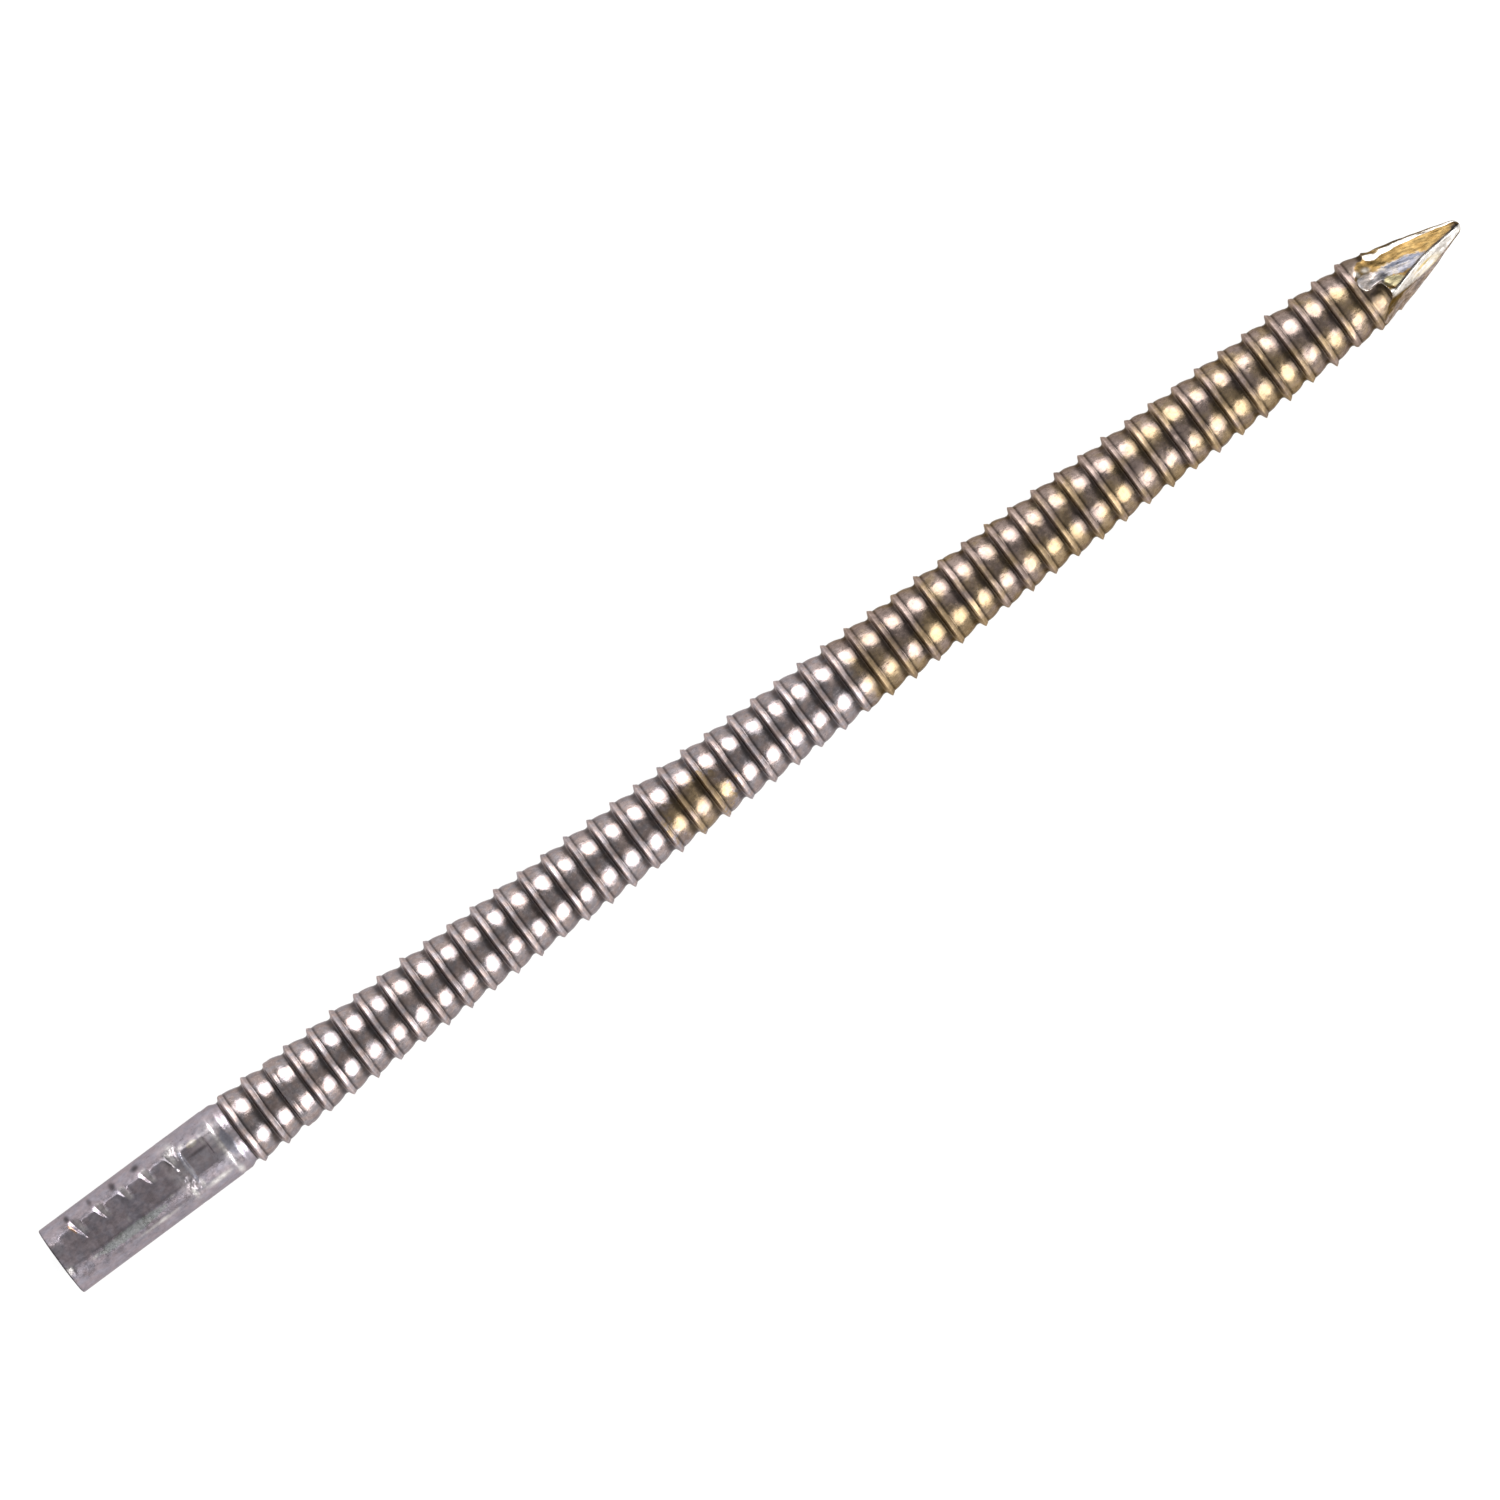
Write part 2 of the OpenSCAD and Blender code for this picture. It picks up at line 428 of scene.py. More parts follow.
def shank_marks(x, turn):
    """Painted highlights on the far walls and from the table, but none on the struck face. Painted
    shade: the table's dark spots.
    """
    painted_highlight = 0
    painted_shade = 0
    for side in (0, math.pi):
        painted_highlight = painted_highlight + far_wall_highlight(x, turn, side)
        for at, across, long, wide, strength in PAINTED_HIGHLIGHTS:
            painted_highlight = painted_highlight + strength * spot(x, turn, at, across, long, wide, side)
        for at, across, long, wide, strength in PAINTED_SHADE_SPOTS:
            painted_shade = painted_shade + strength * spot(x, turn, at, across, long, wide, side)
    return np.clip(painted_highlight, 0, 1) * ease(0, 0.03, x), np.clip(painted_shade, 0, 1)


def bevel_across(x, turn, facets):
    """How far each place lies across the upper bevel, as a share of the facets' distance."""
    middle = facet_turn(x) + math.radians(UPPER_BEVEL[0])
    return facets * np.sin(turn_from(turn, middle)) / facet_reach(x)


def point_highlights(x, turn, rings, facets, cut):
    """Painted reflections on the two bevels and the side facet's upper part, a painted highlight on the
    scallop's edge, and two painted highlight dots on the last barrel.
    """
    reach = facet_reach(x)
    above = face_radius(x, turn, UPPER_BEVEL, reach) - facets
    below = face_radius(x, turn, LOWER_BEVEL, reach) - facets
    y = facets * np.sin(turn)
    top = np.cos(turn) > 0
    band = ease(0.012, 0.0, above) * ease(0.52, 0.44, bevel_across(x, turn, facets))
    side = ease(0.04, 0.0, below) + (turn_from(turn, facet_turn(x) - math.radians(45)) < 0) * top
    # The height across the side facet above which its painted reflection lies
    painted_light = np.interp(x, [59.6, 60.1, 61.0, 62.0, 62.7], [-0.74, -0.74, -0.68, -0.47, -0.3])
    band = band + np.clip(side, 0, 1) * ease(-0.04, 0.04, y - painted_light)
    band = band * (1 - spot(x, turn, 61.1, -0.86, 0.45, 0.12))
    edge = soft_line(rings - facets, 0, 0.014) * top
    edge = edge * ease(0.25, 0.1, y) * ease(-0.75, -0.55, y)
    dots = spot(x, turn, 58.87, 0.74, 0.1, 0.12) + spot(x, turn, 59.22, 0.78, 0.14, 0.1)
    return np.clip(band * cut * ease(59.35, 59.6, x) + 0.7 * edge + 0.5 * dots, 0, 1)


def point_painted_shade(x, turn, facets, cut):
    """Painted shade: dark lines on the ridge below the widest facet, the upper bevel's rim and the tip,
    and a painted shadow.
    """
    reach = facet_reach(x)
    widest = face_radius(x, turn, WIDEST_FACET, reach)
    above = face_radius(x, turn, UPPER_BEVEL, reach) - facets
    lower = face_radius(x, turn, LOWER_BEVEL, reach)
    ridge = soft_line(widest - lower, -0.04, 0.055) * (widest - facets < 0.06)
    rim = ease(0.46, 0.54, bevel_across(x, turn, facets)) * ease(0.03, 0.0, above)
    rim = rim * ease(61.8, 60.8, x)
    middle = soft_line(facets * np.sin(turn), 0, 0.12) * (np.cos(turn) > 0)
    tip = ease(62.60, 62.72, x) * ease(62.98, 62.9, x) * middle
    shadow = spot(x, turn, 59.1, -0.27, 0.42, 0.24) * (1 - cut)
    return np.clip((ridge + 0.35 * rim + tip) * cut + shadow, 0, 1)


def point_marks(x, turn):
    """Cut: where a sheared facet shows. Painted highlights, and painted shade in dark lines and a
    shadow.
    """
    rings = wire_radius(x, turn)
    facets = facet_radius(x, turn)
    cut = ease(-0.01, 0.01, rings - facets)
    return cut, point_highlights(x, turn, rings, facets, cut), point_painted_shade(x, turn, facets, cut)


def marks(x, turn):
    """Every mark's strength at each distance along and turn round the nail."""
    lip, painted_shade = ring_marks(x)
    painted_highlight = 0 * x
    cut = 0 * x
    if x.min() < RINGS_START:
        painted_highlight, shank_shade = shank_marks(x, turn)
        painted_shade = np.clip(painted_shade + shank_shade, 0, 1)
    if on_point(x):
        cut, painted_highlight, lines = point_marks(x, turn)
        lip = lip * (1 - cut)
        painted_shade = np.clip(painted_shade * (1 - cut) + lines, 0, 1)
    return {"lip": lip, "painted_shade": painted_shade, "painted_highlight": painted_highlight, "cut": cut}


def wall_faces(rows, columns):
    """The faces from each row of points to the next, and a fan to a middle point at each end."""
    faces = []
    for i in range(rows - 1):
        for j in range(columns):
            k = (j + 1) % columns
            a = i * columns
            b = a + columns
            faces.append((a + j, a + k, b + k, b + j))
    first = rows * columns
    end = first - columns
    for j in range(columns):
        k = (j + 1) % columns
        faces.append((first, k, j))
        faces.append((first + 1, end + j, end + k))
    return faces


def tube(name, stations, columns, twist=None):
    """A closed bar along X: one row of points at each station, with a cap at both ends."""
    x = np.array(stations)[:, None] * np.ones(columns)
    turn = np.ones((len(stations), 1)) * np.arange(columns) * 2 * math.pi / columns
    if twist:
        turn = turn + twist(x)
    r = bar_radius(x, turn)
    points = np.stack([x, r * np.sin(turn), r * np.cos(turn)], axis=2).reshape(-1, 3)
    points = np.vstack([points, [[stations[0], 0, 0], [stations[-1], 0, 0]]])
    mesh = bpy.data.meshes.new(name)
    mesh.from_pydata((points * MM).tolist(), [], wall_faces(len(stations), columns))
    mesh.shade_smooth()
    mesh.set_sharp_from_angle(angle=math.radians(50))
    for label, values in marks(x, turn).items():
        if values.max() > 0:
            layer = mesh.attributes.new(label, "FLOAT", "POINT")
            layer.data.foreach_set("value", np.append(values.ravel(), [0, 0]).astype(np.float32))
    piece = bpy.data.objects.new(name, mesh)
    bpy.context.scene.collection.objects.link(piece)
    return piece


def add(piece, cad_node, material):
    piece.data.materials.append(material)
    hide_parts(cad_node)
    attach(piece, "root")


# --- shader node helpers -----------------------------------------------------------------


def node(tree, kind, **settings):
    made = tree.nodes.new(kind)
    for key, value in settings.items():
        setattr(made, key, value)
    return made


def link(tree, source, target):
    """Joins an output to an input, or puts a plain value on the input."""
    if isinstance(source, bpy.types.NodeSocket):
        tree.links.new(source, target)
    else:
        target.default_value = source


def sums(tree, operation, a, b=0.0, clamp=False):
    """A sum, product or other arithmetic on one or two values."""
    made = node(tree, "ShaderNodeMath", operation=operation, use_clamp=clamp)
    link(tree, a, made.inputs[0])
    link(tree, b, made.inputs[1])
    return made.outputs[0]


def spread(tree, value, low, high, to_low=0.0, to_high=1.0):
    """A smooth step from one value at low to another at high."""
    made = node(tree, "ShaderNodeMapRange", interpolation_type="SMOOTHSTEP")
    link(tree, value, made.inputs["Value"])
    link(tree, low, made.inputs["From Min"])
    link(tree, high, made.inputs["From Max"])
    link(tree, to_low, made.inputs["To Min"])
    link(tree, to_high, made.inputs["To Max"])
    return made.outputs["Result"]


def blend(tree, factor, a, b, mode="MIX"):
    """Colour a mixed towards colour b by the factor."""
    made = node(tree, "ShaderNodeMix", data_type="RGBA", blend_type=mode)
    link(tree, factor, made.inputs[0])
    for value, socket in ((a, made.inputs[6]), (b, made.inputs[7])):
        if isinstance(value, tuple):
            value = (*value, 1.0)
        link(tree, value, socket)
    return made.outputs[2]


def noise(tree, vector, scale, detail=3.0, roughness=0.55):
    made = node(tree, "ShaderNodeTexNoise")
    link(tree, vector, made.inputs["Vector"])
    made.inputs["Scale"].default_value = scale
    made.inputs["Detail"].default_value = detail
    made.inputs["Roughness"].default_value = roughness
    return made.outputs["Fac"]


def stretched(tree, vector, scale):
    """A position scaled along each axis, so that a pattern read from it is drawn out."""
    made = node(tree, "ShaderNodeVectorMath", operation="MULTIPLY")
    link(tree, vector, made.inputs[0])
    made.inputs[1].default_value = scale
    return made.outputs[0]


def grey(tree, value):
    """A value as a colour."""
    made = node(tree, "ShaderNodeCombineColor")
    for i in range(3):
        link(tree, value, made.inputs[i])
    return made.outputs[0]


def new_group(name, inputs, outputs):
    """An empty node group with named sockets, and its two end nodes."""
    tree = bpy.data.node_groups.new(name, "ShaderNodeTree")
    for label, kind, default in inputs:
        socket = tree.interface.new_socket(label, in_out="INPUT", socket_type=kind)
        if default is not None:
            socket.default_value = default
    for label, kind in outputs:
        tree.interface.new_socket(label, in_out="OUTPUT", socket_type=kind)
    return tree, tree.nodes.new("NodeGroupInput"), tree.nodes.new("NodeGroupOutput")


FLOAT = "NodeSocketFloat"
VECTOR = "NodeSocketVector"
COLOUR = "NodeSocketColor"


def use(tree, group, **values):
    """Places a node group in a tree, and gives its outputs."""
    made = tree.nodes.new("ShaderNodeGroup")
    made.node_tree = group
    for key, value in values.items():
        link(tree, value, made.inputs[key.replace("_", " ")])
    return made.outputs


# Each finish's warm and cool colour, and how much darker and lighter the wear makes it
BARE = ((0.315, 0.25, 0.235), (0.275, 0.245, 0.255), 0.28)
COATED = ((0.275, 0.20, 0.12), (0.26, 0.20, 0.178), 0.32)
SHANK = ((0.335, 0.285, 0.31), (0.305, 0.28, 0.32), 0.2)
GOLD = ((0.162, 0.107, 0.042), (0.12, 0.074, 0.026), 0.45)
SILVER = ((0.19, 0.172, 0.158), (0.133, 0.132, 0.152), 0.4)
PALE = ((0.25, 0.22, 0.13), (0.21, 0.18, 0.11), 0.3)
ASHEN = ((0.42, 0.365, 0.33), (0.32, 0.30, 0.30), 0.4)
WORN = ((0.40, 0.305, 0.24), (0.35, 0.295, 0.275), 0.35)

# The colours that painted highlights give steel and facets, gold rubbed bright, and the single colours
# of pits, painted shade lines, streaks and stains
PAINTED_HIGHLIGHT_STEEL = (0.80, 0.77, 0.74)
PAINTED_HIGHLIGHT_FACET = (0.95, 0.92, 0.88)
RUBBED_GOLD = (0.70, 0.54, 0.24)
PIT = (0.12, 0.10, 0.105)
PAINTED_SHADE_LINE = (0.06, 0.05, 0.045)
COLD_STREAK = (0.06, 0.065, 0.085)
BROWN_RESIN = (0.15, 0.12, 0.09)

# Greenish, orange and ochre tints on the plain shank, the orange one a painted fringe on the first
# groove's glint: the patch as patch() takes it, the colour and the strength
SHANK_TINTS = [
    ((2.8, -0.62, 0, 1.5, 0.18, 0.9), (0.27, 0.30, 0.28), 0.6),
    ((1.06, 0.72, 107, 0.22, 0.05, 1.0), (0.52, 0.32, 0.20), 0.7),
    ((6.38, 0.62, 0, 0.22, 0.12, 0.8), (0.52, 0.45, 0.34), 0.55),
]

# How much the painted shade darkens and a lip's painted highlight lightens, and the tint of steel seen
# at a low angle
PAINTED_SHADE_DEPTH = 0.75
LIP_PAINTED_LIGHT = 0.45
GRAZING = (0.68, 0.64, 0.64)
COATED_GRAZING = (0.54, 0.48, 0.42)

# The resin starts between these distances, each about half the raggedness further back
COAT_EDGE = (36.4, 37.3)
COAT_RAGGEDNESS = 2.2


def wear_group():
    """Fine handling marks in drawn steel: a tone, a tint, dark specks and a height."""
    tree, given, out = new_group(
        "steel_wear",
        [("Position", VECTOR, None)],
        [("Tone", FLOAT), ("Tint", FLOAT), ("Specks", FLOAT), ("Height", FLOAT)],
    )
    place = given.outputs["Position"]
    broad = noise(tree, place, 1.6, 3, 0.6)
    fine = noise(tree, place, 6.5, 4, 0.65)
    tone = sums(tree, "ADD", sums(tree, "MULTIPLY", broad, 0.5), sums(tree, "MULTIPLY", fine, 0.5))
    link(tree, tone, out.inputs["Tone"])
    tint = noise(tree, stretched(tree, place, (1.0, 1.3, 1.3)), 2.7, 2, 0.5)
    link(tree, spread(tree, tint, 0.35, 0.65), out.inputs["Tint"])
    cell = node(tree, "ShaderNodeTexVoronoi")
    link(tree, place, cell.inputs["Vector"])
    cell.inputs["Scale"].default_value = 3.2
    speck = spread(tree, cell.outputs["Distance"], 0.16, 0.08)
    link(tree, speck, out.inputs["Specks"])
    streak = noise(tree, stretched(tree, place, (0.5, 5.0, 5.0)), 2.2, 3, 0.6)
    height = sums(tree, "ADD", sums(tree, "MULTIPLY", streak, 0.6), sums(tree, "MULTIPLY", fine, 0.6))
    link(tree, height, out.inputs["Height"])
    return tree


def patch_group():
    """A ragged oval area on the nail seen from above, as a mask from 0 to 1."""
    tree, given, out = new_group(
        "ragged_patch",
        [
            ("Position", VECTOR, None), ("Centre X", FLOAT, 0.0), ("Centre Y", FLOAT, 0.0),
            ("Turn", FLOAT, 0.0), ("Half Length", FLOAT, 1.0), ("Half Width", FLOAT, 1.0),
            ("Raggedness", FLOAT, 0.5),
        ],
        [("Mask", FLOAT)],
    )
    place = given.outputs["Position"]
    parts = node(tree, "ShaderNodeSeparateXYZ")
    link(tree, place, parts.inputs[0])
    dx = sums(tree, "SUBTRACT", parts.outputs[0], given.outputs["Centre X"])
    dy = sums(tree, "SUBTRACT", parts.outputs[1], given.outputs["Centre Y"])
    cos = sums(tree, "COSINE", given.outputs["Turn"])
    sin = sums(tree, "SINE", given.outputs["Turn"])
    along = sums(tree, "ADD", sums(tree, "MULTIPLY", dx, cos), sums(tree, "MULTIPLY", dy, sin))
    across = sums(tree, "SUBTRACT", sums(tree, "MULTIPLY", dy, cos), sums(tree, "MULTIPLY", dx, sin))
    along = sums(tree, "DIVIDE", along, given.outputs["Half Length"])
    across = sums(tree, "DIVIDE", across, given.outputs["Half Width"])
    far = sums(tree, "ADD", sums(tree, "MULTIPLY", along, along), sums(tree, "MULTIPLY", across, across))
    far = sums(tree, "SQRT", far)
    ragged = sums(tree, "SUBTRACT", noise(tree, place, 5.0, 3, 0.6), 0.5)
    far = sums(tree, "ADD", far, sums(tree, "MULTIPLY", ragged, given.outputs["Raggedness"]))
    link(tree, spread(tree, far, 1.15, 0.85), out.inputs["Mask"])
    return tree


def coat_group():
    """Where the golden resin lies: all round the point end, and one patch further back."""
    tree, given, out = new_group("resin_coat", [("Position", VECTOR, None)], [("Mask", FLOAT)])
    place = given.outputs["Position"]
    parts = node(tree, "ShaderNodeSeparateXYZ")
    link(tree, place, parts.inputs[0])
    ragged = sums(tree, "MULTIPLY", noise(tree, place, 1.1), COAT_RAGGEDNESS)
    edge = sums(tree, "ADD", parts.outputs[0], ragged)
    dipped = spread(tree, edge, *COAT_EDGE)
    stray = use(
        tree, PATCH, Position=place, Centre_X=28.35, Centre_Y=-0.5, Turn=0.1,
        Half_Length=1.45, Half_Width=1.05, Raggedness=1.5,
    )["Mask"]
    link(tree, sums(tree, "MAXIMUM", dipped, stray), out.inputs["Mask"])
    return tree


def steel_tone_group():
    """Steel between a warm and a cool colour, darker and lighter with the wear."""
    tree, given, out = new_group(
        "steel_tone",
        [
            ("Tone", FLOAT, 0.5), ("Tint", FLOAT, 0.5), ("Warm", COLOUR, None), ("Cool", COLOUR, None),
            ("Darkest", FLOAT, 0.7), ("Lightest", FLOAT, 1.3),
        ],
        [("Colour", COLOUR)],
    )
    values = given.outputs
    colour = blend(tree, values["Tint"], values["Warm"], values["Cool"])
    shade = spread(tree, values["Tone"], 0.3, 0.7, values["Darkest"], values["Lightest"])
    link(tree, blend(tree, 1.0, colour, grey(tree, shade), "MULTIPLY"), out.inputs["Colour"])
    return tree


def steel_colour(tree, wear, warm, cool, contrast, tint=None):
    """One finish's colour, tinted by the wear's own tint unless another is given."""
    return use(
        tree, STEEL_TONE, Tone=wear["Tone"], Tint=tint or wear["Tint"],
        Warm=(*warm, 1), Cool=(*cool, 1), Darkest=1 - contrast, Lightest=1 + contrast,
    )["Colour"]


def coat_tint(tree, place):
    """Broad differences in the resin, which ran down thicker on the -Y side."""
    parts = node(tree, "ShaderNodeSeparateXYZ")
    link(tree, place, parts.inputs[0])
    thin = sums(tree, "ADD", noise(tree, place, 0.85, 3), sums(tree, "MULTIPLY", parts.outputs[1], 0.06))
    return spread(tree, thin, 0.36, 0.62)


def ring_colour_group():
    """Bare steel, brown-gold steel wherever the resin reached, and a few dark pits in both."""
    tree, given, out = new_group(
        "ring_colour",
        [
            ("Position", VECTOR, None), ("Tone", FLOAT, 0.5), ("Tint", FLOAT, 0.5),
            ("Specks", FLOAT, 0.0),
        ],
        [("Colour", COLOUR)],
    )
    place = given.outputs["Position"]
    coat = use(tree, COAT, Position=place)["Mask"]
    bare = steel_colour(tree, given.outputs, *BARE)
    coated = steel_colour(tree, given.outputs, *COATED, coat_tint(tree, place))
    pitted = sums(tree, "MULTIPLY", given.outputs["Specks"], 0.5)
    colour = blend(tree, pitted, blend(tree, coat, bare, coated), PIT)
    link(tree, colour, out.inputs["Colour"])
    return tree


def steel_marks_group():
    """What the mesh's marks do to a steel: painted highlights lighten it, painted shade darkens it, and
    a lip gets a painted highlight and is dull. The painted highlights are patchy with the wear's tone."""
    tree, given, out = new_group(
        "steel_marks",
        [
            ("Steel", COLOUR, None), ("Rubbed", COLOUR, None), ("Tone", FLOAT, 0.5),
            ("Shine", FLOAT, 0.0), ("Grime", FLOAT, 0.0), ("Lip", FLOAT, 0.0),
            ("Smoothest", FLOAT, 0.2), ("Roughest", FLOAT, 0.32), ("Dull", FLOAT, 0.4),
        ],
        [("Colour", COLOUR), ("Roughness", FLOAT)],
    )
    values = given.outputs
    patchy = spread(tree, values["Tone"], 0.35, 0.65, 0.45, 1.15)
    painted_highlight = sums(tree, "MULTIPLY", values["Shine"], patchy, clamp=True)
    colour = blend(tree, painted_highlight, values["Steel"], values["Rubbed"])
    shade = sums(tree, "SUBTRACT", 1.0, sums(tree, "MULTIPLY", values["Grime"], PAINTED_SHADE_DEPTH))
    # A lip's colour is lightened here: a painted highlight on the dull metal.
    shade = sums(tree, "ADD", shade, sums(tree, "MULTIPLY", values["Lip"], LIP_PAINTED_LIGHT))
    link(tree, blend(tree, 1.0, colour, grey(tree, shade), "MULTIPLY"), out.inputs["Colour"])
    rough = spread(tree, values["Tone"], 0.3, 0.7, values["Smoothest"], values["Roughest"])
    made = node(tree, "ShaderNodeMix", data_type="FLOAT")
    link(tree, values["Lip"], made.inputs[0])
    link(tree, rough, made.inputs[2])
    link(tree, values["Dull"], made.inputs[3])
    link(tree, made.outputs[0], out.inputs["Roughness"])
    return tree


WEAR = wear_group()
PATCH = patch_group()
COAT = coat_group()
STEEL_TONE = steel_tone_group()
RING_COLOUR = ring_colour_group()
STEEL_MARKS = steel_marks_group()


# --- materials ---------------------------------------------------------------------------


def patch(tree, place, x, y, turn, half_length, half_width, ragged):
    """The mask of one ragged patch, placed in millimetres and turned in degrees."""
    return use(
        tree, PATCH, Position=place, Centre_X=x, Centre_Y=y, Turn=math.radians(turn),
        Half_Length=half_length, Half_Width=half_width, Raggedness=ragged,
    )["Mask"]


def with_patch(tree, place, colour, where, tint, strength=1.0):
    """A colour with a ragged patch of another over it."""
    return blend(tree, sums(tree, "MULTIPLY", patch(tree, place, *where), strength), colour, tint)


def new_material(name):
    """A material, its node tree, its shader, and the position on the nail in millimetres."""
    material = bpy.data.materials.new(name)
    material.use_nodes = True
    tree = material.node_tree
    shader = tree.nodes["Principled BSDF"]
    coords = node(tree, "ShaderNodeTexCoord")
    place = stretched(tree, coords.outputs["Object"], (1000, 1000, 1000))
    return material, tree, shader, place


def bump(tree, shader, height, distance):
    made = node(tree, "ShaderNodeBump")
    made.inputs["Strength"].default_value = 1.0
    made.inputs["Distance"].default_value = distance
    link(tree, height, made.inputs["Height"])
    link(tree, made.outputs["Normal"], shader.inputs["Normal"])


def mark(tree, label):
    """A value that the mesh carries, such as how dull each place is or how much painted shade it gets.
    """
    return node(tree, "ShaderNodeAttribute", attribute_name=label).outputs["Fac"]


def ring_colour(tree, place, wear):
    return use(
        tree, RING_COLOUR, Position=place, Tone=wear["Tone"], Tint=wear["Tint"],
        Specks=wear["Specks"],
    )["Colour"]


def finish_steel(tree, shader, wear, colour, smooth, dull, height, painted_light=PAINTED_HIGHLIGHT_STEEL):
    """Puts the mesh's marks on a steel, and sets its roughness and bump."""
    marked = use(
        tree, STEEL_MARKS, Steel=colour, Rubbed=(*painted_light, 1), Tone=wear["Tone"],
        Shine=mark(tree, "painted_highlight"), Grime=mark(tree, "painted_shade"), Lip=mark(tree, "lip"),
        Smoothest=smooth, Roughest=smooth + 0.12, Dull=dull,
    )
    shader.inputs["Metallic"].default_value = 1
    shader.inputs["Specular Tint"].default_value = (*GRAZING, 1)
    link(tree, marked["Colour"], shader.inputs["Base Color"])
    link(tree, marked["Roughness"], shader.inputs["Roughness"])
    bump(tree, shader, wear["Height"], height)


def bare_ring_steel():
    material, tree, shader, place = new_material("bare_ring_steel")
    wear = use(tree, WEAR, Position=place)
    colour = ring_colour(tree, place, wear)
    finish_steel(tree, shader, wear, colour, smooth=0.19, dull=0.42, height=0.000006)
    return material


def coated_ring_steel():
    material, tree, shader, place = new_material("coated_ring_steel")
    wear = use(tree, WEAR, Position=place)
    colour = ring_colour(tree, place, wear)
    finish_steel(tree, shader, wear, colour, smooth=0.215, dull=0.45, height=0.000007)
    shader.inputs["Specular Tint"].default_value = (*COATED_GRAZING, 1)
    return material


def plain_shank_steel():
    material, tree, shader, place = new_material("plain_shank_steel")
    wear = use(tree, WEAR, Position=place)
    colour = steel_colour(tree, wear, *SHANK)
    # Blue-grey painted reflections on the neck's taper and beside the heel
    blue_reflection = sums(
        tree, "MAXIMUM",
        patch(tree, place, 7.5, -0.12, 0, 0.2, 0.5, 0.6),
        patch(tree, place, 5.79, 0.0, 0, 0.09, 0.7, 0.8),
    )
    colour = blend(tree, sums(tree, "MULTIPLY", blue_reflection, 0.55), colour, (0.27, 0.29, 0.40))
    for where, tint, strength in SHANK_TINTS:
        colour = with_patch(tree, place, colour, where, tint, strength)
    finish_steel(tree, shader, wear, colour, smooth=0.26, dull=0.4, height=0.00001)
    return material


def shear_streaks(tree, place):
    """Torn lines that the shears drag along the facets."""
    turned = node(tree, "ShaderNodeVectorRotate", rotation_type="Z_AXIS")
    link(tree, place, turned.inputs["Vector"])
    turned.inputs["Angle"].default_value = math.radians(13)
    lines = noise(tree, stretched(tree, turned.outputs[0], (0.7, 5.0, 5.0)), 1.6, 4, 0.65)
    return spread(tree, lines, 0.3, 0.7)


def facet_colour(tree, place, wear):
    """Torn facets: gold resin, silver where it came off, worn and ashen steel, painted shade lines."""
    gold, silver, pale, ashen, worn = (
        steel_colour(tree, wear, *finish) for finish in (GOLD, SILVER, PALE, ASHEN, WORN)
    )
    bare = sums(
        tree, "MAXIMUM",
        patch(tree, place, 60.35, 0.06, -14, 1.05, 0.26, 0.9),
        patch(tree, place, 59.4, 0.1, -20, 0.5, 0.3, 0.5),
    )
    facets = blend(tree, bare, gold, silver)
    facets = with_patch(tree, place, facets, (60.6, -1.05, 13, 2.4, 0.36, 0.5), worn)
    facets = with_patch(tree, place, facets, (59.85, -0.27, -30, 0.42, 0.2, 0.8), pale)
    facets = with_patch(tree, place, facets, (61.1, -0.5, 5, 0.7, 0.16, 0.5), RUBBED_GOLD)
    # Painted shade: the dark lines on the point
    facets = blend(tree, mark(tree, "painted_shade"), facets, PAINTED_SHADE_LINE)
    facets = with_patch(tree, place, facets, (59.1, 0.22, -22, 0.5, 0.3, 0.9), ashen)
    facets = with_patch(tree, place, facets, (60.55, 0.14, -15, 0.8, 0.085, 2.2), COLD_STREAK, 0.85)
    shade = spread(tree, shear_streaks(tree, place), 0.0, 1.0, 0.62, 1.3)
    return blend(tree, 1.0, facets, grey(tree, shade), "MULTIPLY")


def resin_point():
    material, tree, shader, place = new_material("resin_point")
    wear = use(tree, WEAR, Position=place)
    barrel = ring_colour(tree, place, wear)
    barrel = with_patch(tree, place, barrel, (59.0, 1.1, 0, 0.4, 0.5, 0.6), BROWN_RESIN, 0.6)
    colour = blend(tree, mark(tree, "cut"), barrel, facet_colour(tree, place, wear))
    finish_steel(
        tree, shader, wear, colour, smooth=0.28, dull=0.5, height=0.00001, painted_light=PAINTED_HIGHLIGHT_FACET
    )
    shader.inputs["Specular Tint"].default_value = (*COATED_GRAZING, 1)
    return material


# --- the nail ----------------------------------------------------------------------------


def even(start, stop, step):
    """Evenly spaced stations from start to stop, about a step apart."""
    count = max(1, round((stop - start) / step))
    return [start + (stop - start) * i / count for i in range(count + 1)]


def ring_run(first, last, stop):
    """Stations from one ring's root to stop, which is another ring's root or beyond."""
    out = []
    for ring in range(first, last + 1):
        stretch = ring_stretch(ring)
        out += [LIPS[ring] + (s if s < 0 else s * stretch) for s in RING_STEPS]
    return [x for x in out if x < stop - 0.01] + [stop]


shank_steel = plain_shank_steel()
# Rows of points lie closest together on the struck end's broken edge
end_stations = [0, 0.006, 0.014, 0.024, 0.036, 0.05] + even(0.075, END_STOP, 0.033)
add(tube("sheared_end", end_stations, 240), "struck_end", shank_steel)
grip = even(END_STOP, GRIP_STOP, 0.022)
add(tube("die_gripped_bar", grip, 300), "gripped_shank", shank_steel)
neck = even(GRIP_STOP, ring_start(0), 0.025)
add(tube("neck_bar", neck, 300), "shank_neck", shank_steel)

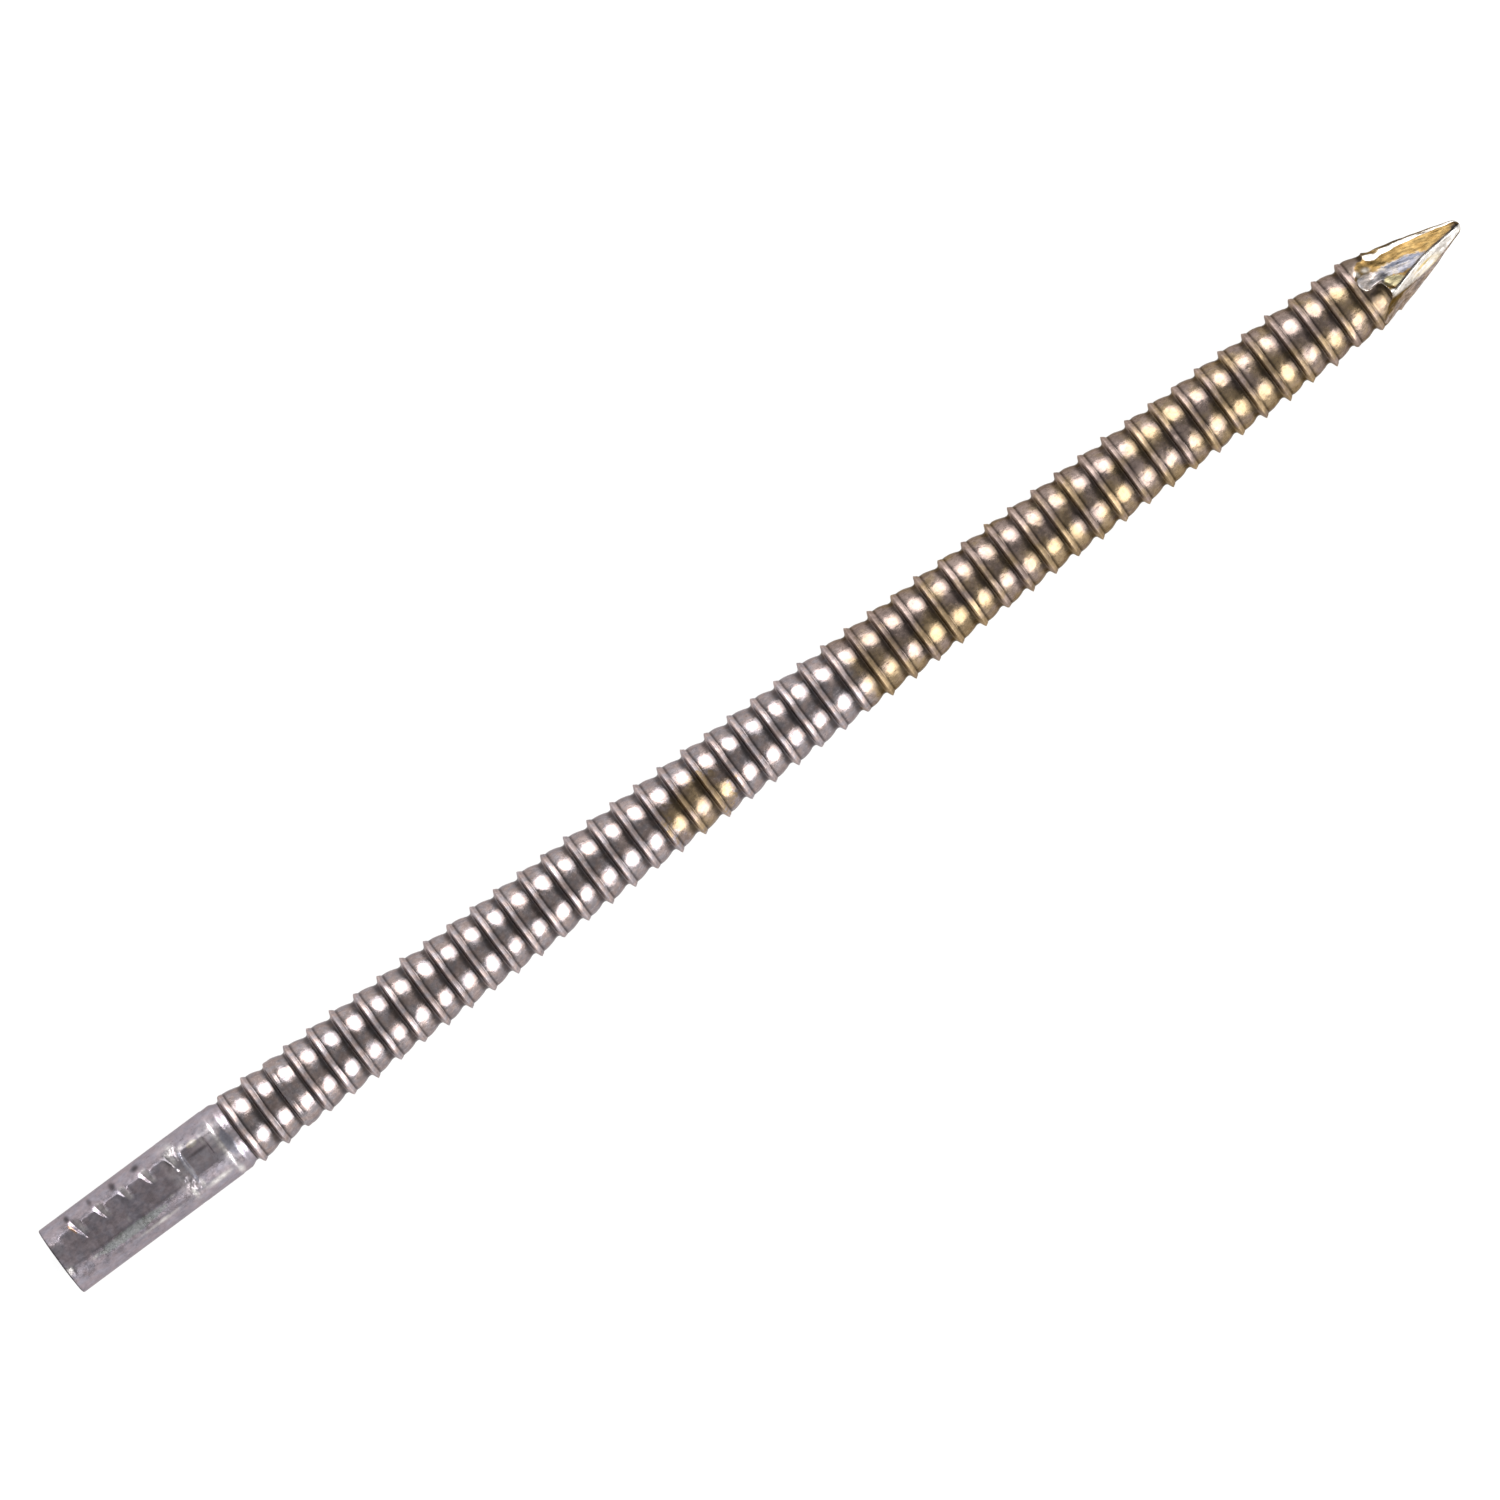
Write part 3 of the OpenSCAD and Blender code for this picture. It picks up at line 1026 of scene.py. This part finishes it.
# Each run of rings: its name, first and last ring, CAD node, slot and steel
bright = ("bright_rings", "bright_steel", bare_ring_steel())
coated = ("coated_rings", "resin_coated_steel", coated_ring_steel())
runs = [
    ("bright_ring_run_1", 0, 12, *bright),
    ("bright_ring_run_2", 13, FIRST_COATED - 1, *bright),
    ("coated_ring_run_1", FIRST_COATED, 37, *coated),
    ("coated_ring_run_2", 38, LAST_RING, *coated),
]
for name, first, last, cad_node, slot, material in runs:
    stop = POINT_START if last == LAST_RING else ring_start(last + 1)
    piece = tube(name, ring_run(first, last, stop), RING_COLUMNS)
    add(piece, cad_node, material)

nose_start = TIP - NOSE_L
nose = [nose_start + NOSE_L * math.sin(math.radians(a)) for a in range(9, 91, 9)]
point = even(POINT_START, 60.6, 0.018) + even(60.64, nose_start, 0.035) + nose
piece = tube("sheared_point", point, 384, facet_turn)
add(piece, "diamond_point", resin_point())


# --- the setting, in metres --------------------------------------------------------------

LIGHT_DISTANCE = 1.5
LIGHT_SIZE = 1.15
LIGHT_POWER = 20
FLOOR_SIZE = 6
# About as far below the nail's axis as its lips reach
FLOOR_Z = -0.0015
CAMERA_X = 0.03105
CAMERA_HEIGHT = 0.6
CAMERA_TURN = -36.611
CAMERA_LENS = 398


def area_light(name, direction):
    """A round lamp that shines on the nail from that direction."""
    light = bpy.data.lights.new(name, "AREA")
    light.shape = "DISK"
    light.size = LIGHT_SIZE
    light.energy = LIGHT_POWER
    lamp = bpy.data.objects.new(name, light)
    lamp.location = Vector(direction).normalized() * LIGHT_DISTANCE
    lamp.rotation_euler = Vector(direction).to_track_quat("Z", "Y").to_euler()
    lamp.visible_camera = False
    bpy.context.scene.collection.objects.link(lamp)


def studio_world(overhead, horizon):
    """Dark overhead, bright towards the horizon, and plain white where the camera sees it."""
    world = bpy.data.worlds.new("studio")
    world.use_nodes = True
    tree = world.node_tree
    coords = node(tree, "ShaderNodeTexCoord")
    parts = node(tree, "ShaderNodeSeparateXYZ")
    link(tree, coords.outputs["Generated"], parts.inputs[0])
    level = spread(tree, parts.outputs[2], 0.72, 0.1, overhead, horizon)
    seen = node(tree, "ShaderNodeLightPath").outputs["Is Camera Ray"]
    level = sums(tree, "MAXIMUM", level, seen)
    link(tree, level, tree.nodes["Background"].inputs["Strength"])
    tree.nodes["Background"].inputs["Color"].default_value = (1, 0.99, 0.98, 1)
    bpy.context.scene.world = world


def white_floor(glow):
    bpy.ops.mesh.primitive_plane_add(size=FLOOR_SIZE, location=(0, 0, FLOOR_Z))
    floor = bpy.context.object
    floor.name = "floor"
    material = bpy.data.materials.new("white_floor")
    material.use_nodes = True
    shader = material.node_tree.nodes["Principled BSDF"]
    shader.inputs["Base Color"].default_value = (0.2, 0.2, 0.2, 1)
    shader.inputs["Roughness"].default_value = 0.8
    shader.inputs["Emission Color"].default_value = (1, 1, 1, 1)
    shader.inputs["Emission Strength"].default_value = glow
    floor.data.materials.append(material)


def straight_down_camera():
    camera = bpy.data.cameras.new("camera")
    camera.lens = CAMERA_LENS
    camera.sensor_width = 36
    camera.clip_start = 0.01
    view = bpy.data.objects.new("camera", camera)
    view.location = (CAMERA_X, 0, CAMERA_HEIGHT)
    view.rotation_euler = (0, 0, math.radians(CAMERA_TURN))
    bpy.context.scene.collection.objects.link(view)
    bpy.context.scene.camera = view


area_light("upper_light", (0.43, 0.78, 0.45))
area_light("lower_light", (0.43, -0.78, 0.45))
studio_world(overhead=0.44, horizon=0.72)
white_floor(glow=0.86)
straight_down_camera()
bpy.context.scene.view_settings.view_transform = "Standard"
